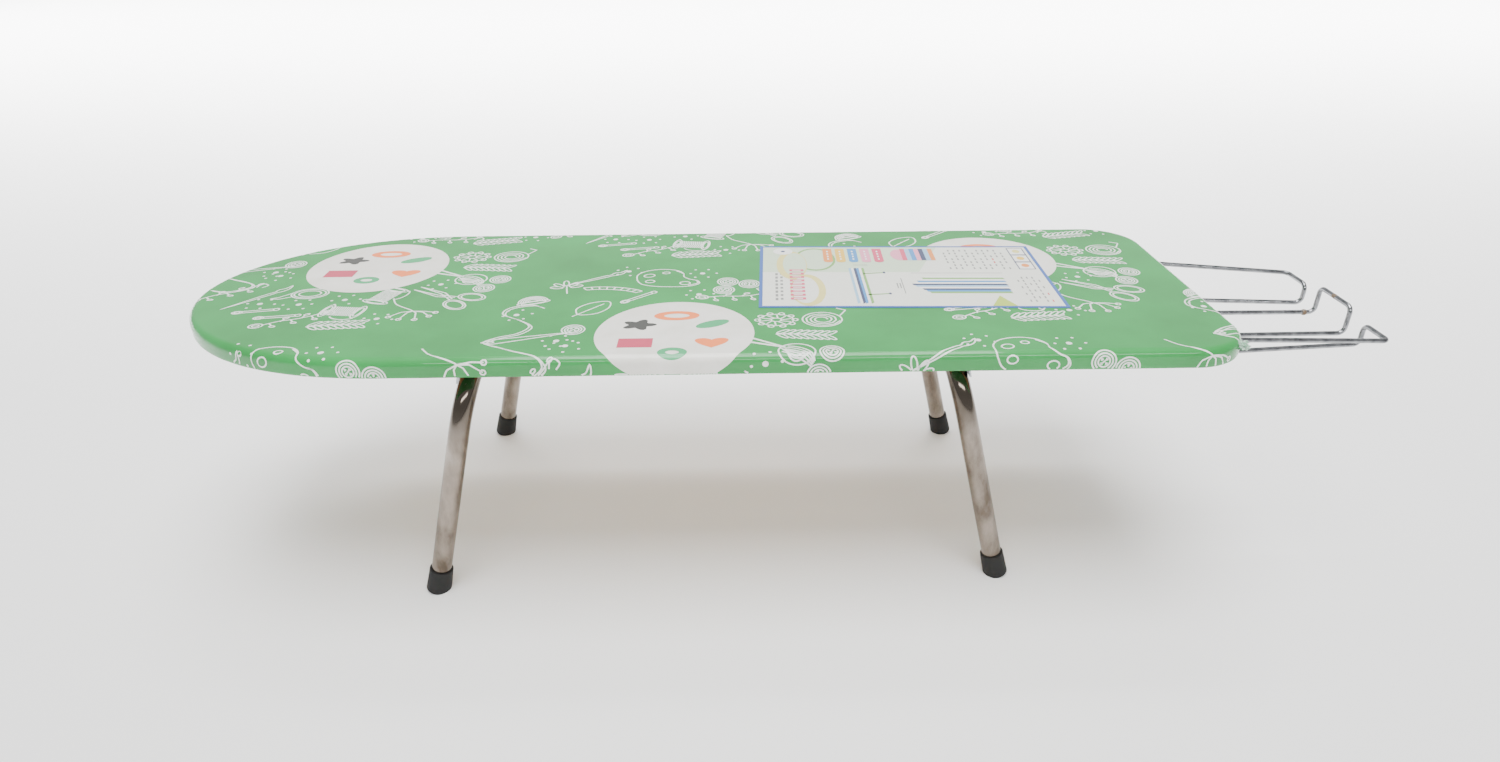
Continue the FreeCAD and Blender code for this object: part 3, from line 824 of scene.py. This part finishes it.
icon = 1.25 * MM
for number, place in enumerate(disc_places):
    if not nose_tip - 0.02 < place.x < square_end + 0.02 or abs(place.y) > half_width:
        continue
    body = bmesh.new()
    bmesh.ops.create_circle(body, cap_ends=True, cap_tris=True, segments=96, radius=disc_radius,
                            matrix=Matrix.Translation((place.x, place.y, 0)))
    names = ["white"] + list(inks)
    for ink, shape, gap, x, y in disc_shapes():
        loops = [shape] + ([gap] if gap else [])
        rings = [[body.verts.new((place.x + (a + x) * icon, place.y + (b + y) * icon, 0.08 * MM))
                  for a, b in loop] for loop in loops]
        if gap:
            count = len(rings[0])
            made = [body.faces.new((rings[0][k], rings[0][(k + 1) % count],
                                    rings[1][(k + 1) % count], rings[1][k])) for k in range(count)]
        else:
            made = [body.faces.new(rings[0])]
        for face in made:
            face.material_index = names.index(ink)
    bmesh.ops.triangulate(body, faces=body.faces)
    refine(body, 6 * MM)
    lay_on_cover(body, film_print * 0.7)
    disc = mesh_object("printed_disc_%d" % number, [], [], [disc_white] + list(inks.values()))
    body.to_mesh(disc.data)
    body.free()
    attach(disc, "board")

# ---------------------------------------------------------------- gathered wrap
# Where the clear wrap is drawn together and heat-sealed, at the near corner of the square end,
# it bunches into one small hard knot of creased film.

creased_film, tree, shader = new_material("creased_clear_polypropylene", "#A9DDBB", 0.22)
shader.inputs["Transmission Weight"].default_value = 0.35
folds = noise_texture(tree, 3, detail=3)
tree.links.new(ramp(tree, folds.outputs["Fac"], [(0.35, "#8CD3A6"), (0.7, "#E4F3E8")]),
               shader.inputs["Base Color"])
film_coat(shader)
gather_size = Vector((9 * MM, 7 * MM, 4.5 * MM))
gather_place = Vector((square_end - 12 * MM, -151 * MM, board_top - 7 * MM))
knot = bmesh.new()
bmesh.ops.create_icosphere(knot, subdivisions=5, radius=1)
for vert in knot.verts:
    crease = abs(noise.noise(vert.co * 2.6)) + 0.5 * abs(noise.noise(vert.co * 6 + Vector((4, 0, 1))))
    vert.co = gather_place + vert.co * gather_size * (0.55 + 0.9 * crease)
gather = mesh_object("wrap_gather", [], [], creased_film)
knot.to_mesh(gather.data)
knot.free()
gather.data.shade_smooth()
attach(gather, "board")

# ---------------------------------------------------------------- instruction card
# A printed card slipped under the clear wrap: blue border, pale ground, pictures of folded
# laundry and of a board seen from the side and from above. Its print is flat patches of ink.

card_low, card_high = (Vector(corner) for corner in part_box("instruction_card"))
card_centre = (card_low + card_high) / 2
card_length, card_width, card_turn = 313 * MM, 183 * MM, math.radians(-1.9)
card_inks = {"border": "#2F5FB0", "ground": "#EEF0E6", "mint": "#D2E6C8", "orange": "#F2913D",
             "amber": "#F3C544", "blue": "#3C8FD0", "pink": "#F39BB8", "crimson": "#E04C72",
             "grey": "#8B8D88", "navy": "#2F3A63", "sky": "#9CC7E6", "white": "#F8F8F4",
             "lime": "#B7CF4A", "red": "#D8403A", "leaf": "#7DB35A", "ring": "#E7DC8A"}
card_materials = []
for name, color in card_inks.items():
    made, tree, shader = new_material("coated_card_" + name, color, 0.4)
    fibre = noise_texture(tree, 8)
    tint = add_node(tree, "ShaderNodeHueSaturation", {"Value": add_node(
        tree, "ShaderNodeMapRange", {"Value": fibre.outputs["Fac"]}, To_Min=0.96,
        To_Max=1.03).outputs["Result"]}, Color=srgb(color))
    tree.links.new(tint.outputs["Color"], shader.inputs["Base Color"])
    film_coat(shader)
    film_ripple(tree, shader)
    card_materials.append(made)
card_body = bmesh.new()
layer_rise = 0.03 * MM
card_top = card_high.z + 0.05 * MM


def card_patch(ink, points, layer):
    """Flat patch of ink; points run 0 to 1 along the card and 0 to 1 from far edge to near."""
    turn = Matrix.Rotation(card_turn, 3, "Z")
    ring = []
    for u, v in points:
        flat = turn @ Vector(((u - 0.5) * card_length, (0.5 - v) * card_width, 0))
        ring.append(card_body.verts.new(Vector((card_centre.x, card_centre.y, 0)) + flat
                                        + Vector((0, 0, card_top + layer * layer_rise))))
    face = card_body.faces.new(ring[::-1])
    face.material_index = list(card_inks).index(ink)


def card_bar(ink, u0, u1, v0, v1, layer):
    card_patch(ink, [(u0, v0), (u1, v0), (u1, v1), (u0, v1)], layer)


def card_oval(ink, u, v, radius_u, radius_v, layer, steps=24):
    card_patch(ink, [(u + radius_u * math.cos(2 * math.pi * k / steps),
                      v + radius_v * math.sin(2 * math.pi * k / steps)) for k in range(steps)], layer)


card_bar("border", 0, 1, 0, 1, 0)
card_bar("ground", 0.012, 0.988, 0.022, 0.978, 1)
card_patch("mint", [(0.012, 0.022), (0.66, 0.022), (0.56, 0.46), (0.012, 0.46)], 2)
card_oval("leaf", 0.20, 0.24, 0.075, 0.20, 3)
card_oval("mint", 0.20, 0.24, 0.066, 0.18, 4)
card_oval("ring", 0.115, 0.34, 0.055, 0.24, 5)
card_oval("mint", 0.125, 0.33, 0.042, 0.20, 6)
card_oval("ring", 0.165, 0.74, 0.06, 0.24, 3)
card_oval("ground", 0.155, 0.74, 0.046, 0.20, 4)
card_oval("white", 0.085, 0.10, 0.036, 0.06, 7)
card_oval("navy", 0.085, 0.10, 0.008, 0.014, 8)
for k in range(9):
    card_bar("crimson", 0.105, 0.155, 0.42 + k * 0.055, 0.45 + k * 0.055, 9)
    card_bar("white", 0.115, 0.145, 0.43 + k * 0.055, 0.44 + k * 0.055, 10)
for column, u in enumerate((0.055, 0.072)):
    for k in range(8):
        card_bar("grey", u, u + 0.009, 0.48 + k * 0.055, 0.515 + k * 0.055 - column * 0.008, 3)
for k, ink in enumerate(("orange", "amber", "blue", "pink", "crimson")):
    u = 0.232 + k * 0.046
    card_bar(ink, u, u + 0.034, 0.05, 0.27, 7)
    card_oval(ink, u + 0.017, 0.27, 0.017, 0.025, 8)
    for j in range(4):
        card_bar("white", u + 0.014, u + 0.020, 0.09 + j * 0.045, 0.115 + j * 0.045, 9)
card_oval("pink", 0.515, 0.16, 0.035, 0.10, 4)
for k, ink in enumerate(("crimson", "sky", "blue", "pink", "navy", "sky", "orange")):
    card_bar(ink, 0.52 + k * 0.017, 0.537 + k * 0.017, 0.05, 0.26, 5)
for k in range(6):
    tone = ("sky", "white", "navy", "blue", "white", "leaf")[k]
    u = 0.315 + k * 0.009
    card_patch(tone, [(u, 0.40), (u + 0.009, 0.39), (u + 0.016, 0.93), (u + 0.007, 0.95)], 4)
for v in (0.48, 0.81):
    card_patch("leaf", [(0.362, v), (0.435, v - 0.015), (0.435, v - 0.003), (0.362, v + 0.014)], 4)
    card_oval("navy", 0.437, v - 0.01, 0.005, 0.014, 5, 10)
board_stripes = ("white", "leaf", "white", "blue", "white", "navy", "sky", "white", "navy", "blue",
                 "leaf")
for k, tone in enumerate(board_stripes):
    v = 0.53 + k * 0.024
    nose = 0.05 * abs(k - 5) / 5
    card_patch(tone, [(0.52 + nose, v), (0.84, v), (0.846, v + 0.024), (0.525 + nose, v + 0.024)], 4)
card_bar("grey", 0.53, 0.85, 0.475, 0.480, 3)
card_bar("grey", 0.487, 0.490, 0.56, 0.80, 3)
for k in range(2):
    card_bar("grey", 0.335, 0.385, 0.33 + 0.02 * k, 0.334 + 0.02 * k, 3)
    card_bar("grey", 0.468 + 0.01 * k, 0.472 + 0.01 * k, 0.64, 0.72, 3)
for column in range(11):
    u = 0.675 + column * 0.021
    for row in range(7):
        ink = "red" if column == 8 and row in (3, 4) else "grey"
        if (column * 3 + row) % 5:
            card_bar(ink, u, u + 0.006, 0.07 + row * 0.052, 0.10 + row * 0.052, 3)
for column in range(5):
    u = 0.885 + column * 0.018
    for row in range(8):
        ink = "red" if column == 4 and row > 4 else "grey"
        if (column + row * 2) % 4:
            card_bar(ink, u, u + 0.005, 0.54 + row * 0.05, 0.57 + row * 0.05, 3)
for k, ink in enumerate(("ring", "amber", "orange")):
    card_bar("navy", 0.918, 0.978, 0.04 + k * 0.125, 0.165 + k * 0.125, 3)
    card_bar("white", 0.922, 0.974, 0.048 + k * 0.125, 0.157 + k * 0.125, 4)
    card_oval(ink, 0.948, 0.10 + k * 0.125, 0.014, 0.03, 5, 14)
card_patch("lime", [(0.755, 0.978), (0.795, 0.83), (0.835, 0.978)], 4)

card_print = mesh_object("instruction_card_print", [], [], card_materials, smooth=False)
card_body.to_mesh(card_print.data)
card_body.free()
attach(card_print, "board")
finish_node("instruction_card", card_materials[0])

# ---------------------------------------------------------------- leg frames
# Nickel-plated steel tube, bent into a U. The bends are smoother and carry a painted reflection: a dark
# colour set by height stands in for the dark room mirrored there. Down the straight legs it is duller, a
# little brown and water-marked.

nickel, tree, shader = new_material("nickel_plated_steel_tube", "#8E8479", 0.2, 1.0)
stain = noise_texture(tree, 22, detail=5, stretch=(1, 1, 0.45))
flecks = noise_texture(tree, 2.2, detail=2)
place = add_node(tree, "ShaderNodeTexCoord")
height = add_node(tree, "ShaderNodeSeparateXYZ", {"Vector": place.outputs["Object"]})
# straight is 0 at the bends and 1 down the legs. It masks the painted dark reflection at the bends, the
# stains and the roughness.
straight = add_node(tree, "ShaderNodeMapRange", {"Value": height.outputs["Z"]}, From_Min=0.212,
                    From_Max=0.165, To_Min=0.0, To_Max=1.0)
painted_bend_reflection_and_stains = add_node(tree, "ShaderNodeMix", {"Factor": straight.outputs["Result"], "B": ramp(
    tree, stain.outputs["Fac"],
    [(0.32, "#5E544A"), (0.45, "#82786E"), (0.58, "#968C82"), (0.72, "#A69D94")])},
    data_type="RGBA")
# Painted reflection: this dark colour at the bends stands in for the dark room mirrored in the plating.
painted_bend_reflection_and_stains.inputs["A"].default_value = srgb("#5A534B")
tree.links.new(painted_bend_reflection_and_stains.outputs["Result"], shader.inputs["Base Color"])
dull = add_node(tree, "ShaderNodeMapRange", {"Value": straight.outputs["Result"]}, To_Min=0.09,
                To_Max=0.27)
tree.links.new(dull.outputs["Result"], shader.inputs["Roughness"])
bump(tree, shader, flecks.outputs["Fac"], 0.02, 0.15)
for node in ("nose_leg_tube", "tail_leg_tube"):
    finish_node(node, nickel)

# ---------------------------------------------------------------- foot caps
# Black moulded rubber cups pushed on the tube ends, matt, with a fine pebble and scuffed soles.

rubber, tree, shader = new_material("moulded_black_rubber", "#0B0B0B", 0.7)
pebble = noise_texture(tree, 1.2, detail=3)
scuff = noise_texture(tree, 14, detail=4)
tree.links.new(ramp(tree, scuff.outputs["Fac"], [(0.35, "#070707"), (0.75, "#121211")]),
               shader.inputs["Base Color"])
bump(tree, shader, pebble.outputs["Fac"], 0.25, 0.6)
for end in ("nose", "tail"):
    for side in ("left", "right"):
        finish_node("%s_foot_cap_%s" % (end, side), rubber)

# ---------------------------------------------------------------- iron rest
# 5 mm steel wire bent into three hooked loops, butt-welded into one ring and chromed. Rust has
# started by the weld on the middle loop.

rest_low, rest_high = (Vector(corner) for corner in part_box("iron_rest"))
chrome, tree, shader = new_material("chromed_steel_wire", "#8A8C8F", 0.12, 1.0)
film = noise_texture(tree, 10, detail=3)
tree.links.new(ramp(tree, film.outputs["Fac"], [(0.3, "#6E7073"), (0.7, "#A4A6A9")]),
               shader.inputs["Base Color"])
haze = add_node(tree, "ShaderNodeMapRange", {"Value": film.outputs["Fac"]}, To_Min=0.06, To_Max=0.22)
tree.links.new(haze.outputs["Result"], shader.inputs["Roughness"])
finish_node("iron_rest", chrome)

wire_radius = 2.5 * MM
rusty, tree, shader = new_material("rusted_butt_weld", "#74604C", 0.6, 0.6)
scale = noise_texture(tree, 1.6, detail=4)
tree.links.new(ramp(tree, scale.outputs["Fac"], [(0.35, "#77736E"), (0.55, "#7A654F"), (0.75, "#6A4A30")]),
               shader.inputs["Base Color"])
bump(tree, shader, scale.outputs["Fac"], 0.3)


def wire_sleeve(name, start, end, bulge, material):
    """Thin uneven sleeve round a straight stretch of wire: a weld bead, or a patch of rust."""
    start, end = Vector(start), Vector(end)
    along = (end - start).normalized()
    side = along.orthogonal().normalized()
    other = along.cross(side)
    rings, around = 9, 20
    verts = []
    for i in range(rings):
        share = i / (rings - 1)
        swell = math.sin(math.pi * share) ** 0.6 * bulge - (0.05 * MM if share in (0, 1) else 0)
        for k in range(around):
            t = 2 * math.pi * k / around
            rough = 1 + 0.25 * noise.noise(Vector((i * 0.9, k * 0.8, 2)))
            radius = wire_radius + max(swell * rough, -0.05 * MM)
            verts.append(start.lerp(end, share) + (side * math.cos(t) + other * math.sin(t)) * radius)
    faces = [(i * around + k, i * around + (k + 1) % around, (i + 1) * around + (k + 1) % around,
              (i + 1) * around + k) for i in range(rings - 1) for k in range(around)]
    faces += [tuple(range(around))[::-1], tuple(range((rings - 1) * around, rings * around))]
    made = mesh_object(name, verts, faces, material)
    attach(made, "board")


runner_height = rest_low.z + wire_radius
middle_top = rest_high.x - wire_radius
middle_half = 28.5 * MM
wire_sleeve("rest_butt_weld", (middle_top - 14 * MM, middle_half, runner_height),
            (middle_top - 9 * MM, middle_half, runner_height), 0.9 * MM, rusty)
wire_sleeve("rest_rust_patch", (middle_top, -2 * MM, 250 * MM), (middle_top, 5 * MM, 250 * MM),
            0.12 * MM, rusty)

# ---------------------------------------------------------------- plates, saddles, stops, clips
# Pressed from zinc-plated mild steel sheet: dull blue-grey with a faint spangle.

zinc, tree, shader = new_material("zinc_plated_steel_sheet", "#A7ACB0", 0.36, 1.0)
place = add_node(tree, "ShaderNodeTexCoord")
spangle = add_node(tree, "ShaderNodeTexVoronoi", {"Vector": place.outputs["Object"]}, Scale=220.0)
tree.links.new(ramp(tree, spangle.outputs["Distance"], [(0.1, "#8C9296"), (0.6, "#BCC1C4")]),
               shader.inputs["Base Color"])
brushed = noise_texture(tree, 1.0, stretch=(0.1, 1, 1))
bump(tree, shader, brushed.outputs["Fac"], 0.04, 0.5)
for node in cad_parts:
    if node.endswith("mount_plate") or "_saddle_" in node or "_stop_" in node or "rest_clip" in node:
        finish_node(node, zinc)

# ---------------------------------------------------------------- screws
# Zinc-plated pan-head wood screws with a cross recess, one shape in two sizes. Each head sits
# on its strap and its shank runs up into the panel.

screw_zinc, tree, shader = new_material("zinc_plated_screw", "#B4B6B2", 0.3, 1.0)
wear = noise_texture(tree, 2.5)
tree.links.new(ramp(tree, wear.outputs["Fac"], [(0.3, "#8F918C"), (0.7, "#C8CAC6")]),
               shader.inputs["Base Color"])


def screw_mesh(head_radius, head_height, shank_radius, length):
    """One screw, head down, seat at z = 0: a turned profile with a cross pressed in its crown."""
    recess = head_radius * 0.52
    profile = [(0, -head_height * 0.35, True), (recess * 0.5, -head_height * 0.5, True),
               (recess, -head_height * 0.98, True), (head_radius * 0.72, -head_height * 0.93, False),
               (head_radius * 0.92, -head_height * 0.66, False), (head_radius, -head_height * 0.3, False),
               (head_radius, 0, False), (shank_radius, 0, False), (shank_radius, length * 0.86, False),
               (shank_radius * 0.2, length, False)]
    around = 24
    body = bmesh.new()
    rows = []
    for radius, height, pressed in profile:
        row = []
        for k in range(around):
            t = 2 * math.pi * k / around
            arm = (k % 6) in (0, 1, 5)
            z = height if (not pressed or arm) else -head_height * 0.98
            row.append(body.verts.new((radius * math.cos(t), radius * math.sin(t), z)))
        rows.append(row)
    for first, second in zip(rows, rows[1:]):
        for k in range(around):
            body.faces.new((first[k], first[(k + 1) % around], second[(k + 1) % around], second[k]))
    body.faces.new(rows[-1])
    bmesh.ops.remove_doubles(body, verts=body.verts, dist=1e-6)
    bmesh.ops.recalc_face_normals(body, faces=body.faces)
    mesh = bpy.data.meshes.new("screw_shape")
    body.to_mesh(mesh)
    body.free()
    return bpy.data.objects.new("screw_shape", mesh)


def scatter_tree(name, shape, material):
    """Geometry Nodes tree that stands one shape on every point, each given its own turn."""
    group = bpy.data.node_groups.new(name, "GeometryNodeTree")
    for label, kind, way in (("Geometry", "NodeSocketGeometry", "INPUT"),
                             ("Turn seed", "NodeSocketInt", "INPUT"),
                             ("Geometry", "NodeSocketGeometry", "OUTPUT")):
        group.interface.new_socket(label, in_out=way, socket_type=kind)
    start = add_node(group, "NodeGroupInput")
    source = add_node(group, "GeometryNodeObjectInfo")
    source.inputs["Object"].default_value = shape
    turn = add_node(group, "FunctionNodeRandomValue", data_type="FLOAT")
    turn.inputs[3].default_value = math.pi
    group.links.new(start.outputs["Turn seed"], turn.inputs["Seed"])
    about = add_node(group, "ShaderNodeCombineXYZ", {"Z": turn.outputs[1]})
    stand = add_node(group, "GeometryNodeInstanceOnPoints",
                     {"Points": start.outputs["Geometry"], "Instance": source.outputs["Geometry"],
                      "Rotation": about.outputs["Vector"]})
    solid = add_node(group, "GeometryNodeRealizeInstances", {"Geometry": stand.outputs["Instances"]})
    coated = add_node(group, "GeometryNodeSetMaterial", {"Geometry": solid.outputs["Geometry"]},
                      Material=material)
    add_node(group, "NodeGroupOutput", {"Geometry": coated.outputs["Geometry"]})
    return group


def screw_places(node, head_height):
    """Seat points of a CAD screw group: one per separate screw in its mesh."""
    body = bmesh.new()
    body.from_mesh(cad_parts[node].data)
    bmesh.ops.remove_doubles(body, verts=body.verts, dist=1e-6)
    seen, places = set(), []
    for first in body.verts:
        if first in seen:
            continue
        island, queue = [], [first]
        seen.add(first)
        while queue:
            vert = queue.pop()
            island.append(vert.co.copy())
            for edge in vert.link_edges:
                other = edge.other_vert(vert)
                if other not in seen:
                    seen.add(other)
                    queue.append(other)
        lows = [min(v[axis] for v in island) for axis in range(3)]
        highs = [max(v[axis] for v in island) for axis in range(3)]
        places.append(((lows[0] + highs[0]) / 2, (lows[1] + highs[1]) / 2, lows[2] + head_height))
    body.free()
    return places


big_head, small_head = (4.2 * MM, 2.6 * MM, 2.0 * MM, 10 * MM), (3.2 * MM, 2.0 * MM, 1.6 * MM, 8.5 * MM)
for node, sizes, seed in (("saddle_screws", big_head, 1), ("stop_screws", big_head, 2),
                          ("clip_screws", small_head, 3)):
    turned = scatter_tree(node + "_scatter", screw_mesh(*sizes), screw_zinc)
    screws = grown_mesh(node + "_cross_head", screw_places(node, sizes[1]), turned,
                        {"Turn seed": seed})
    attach(screws, "board")
    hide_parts(node)
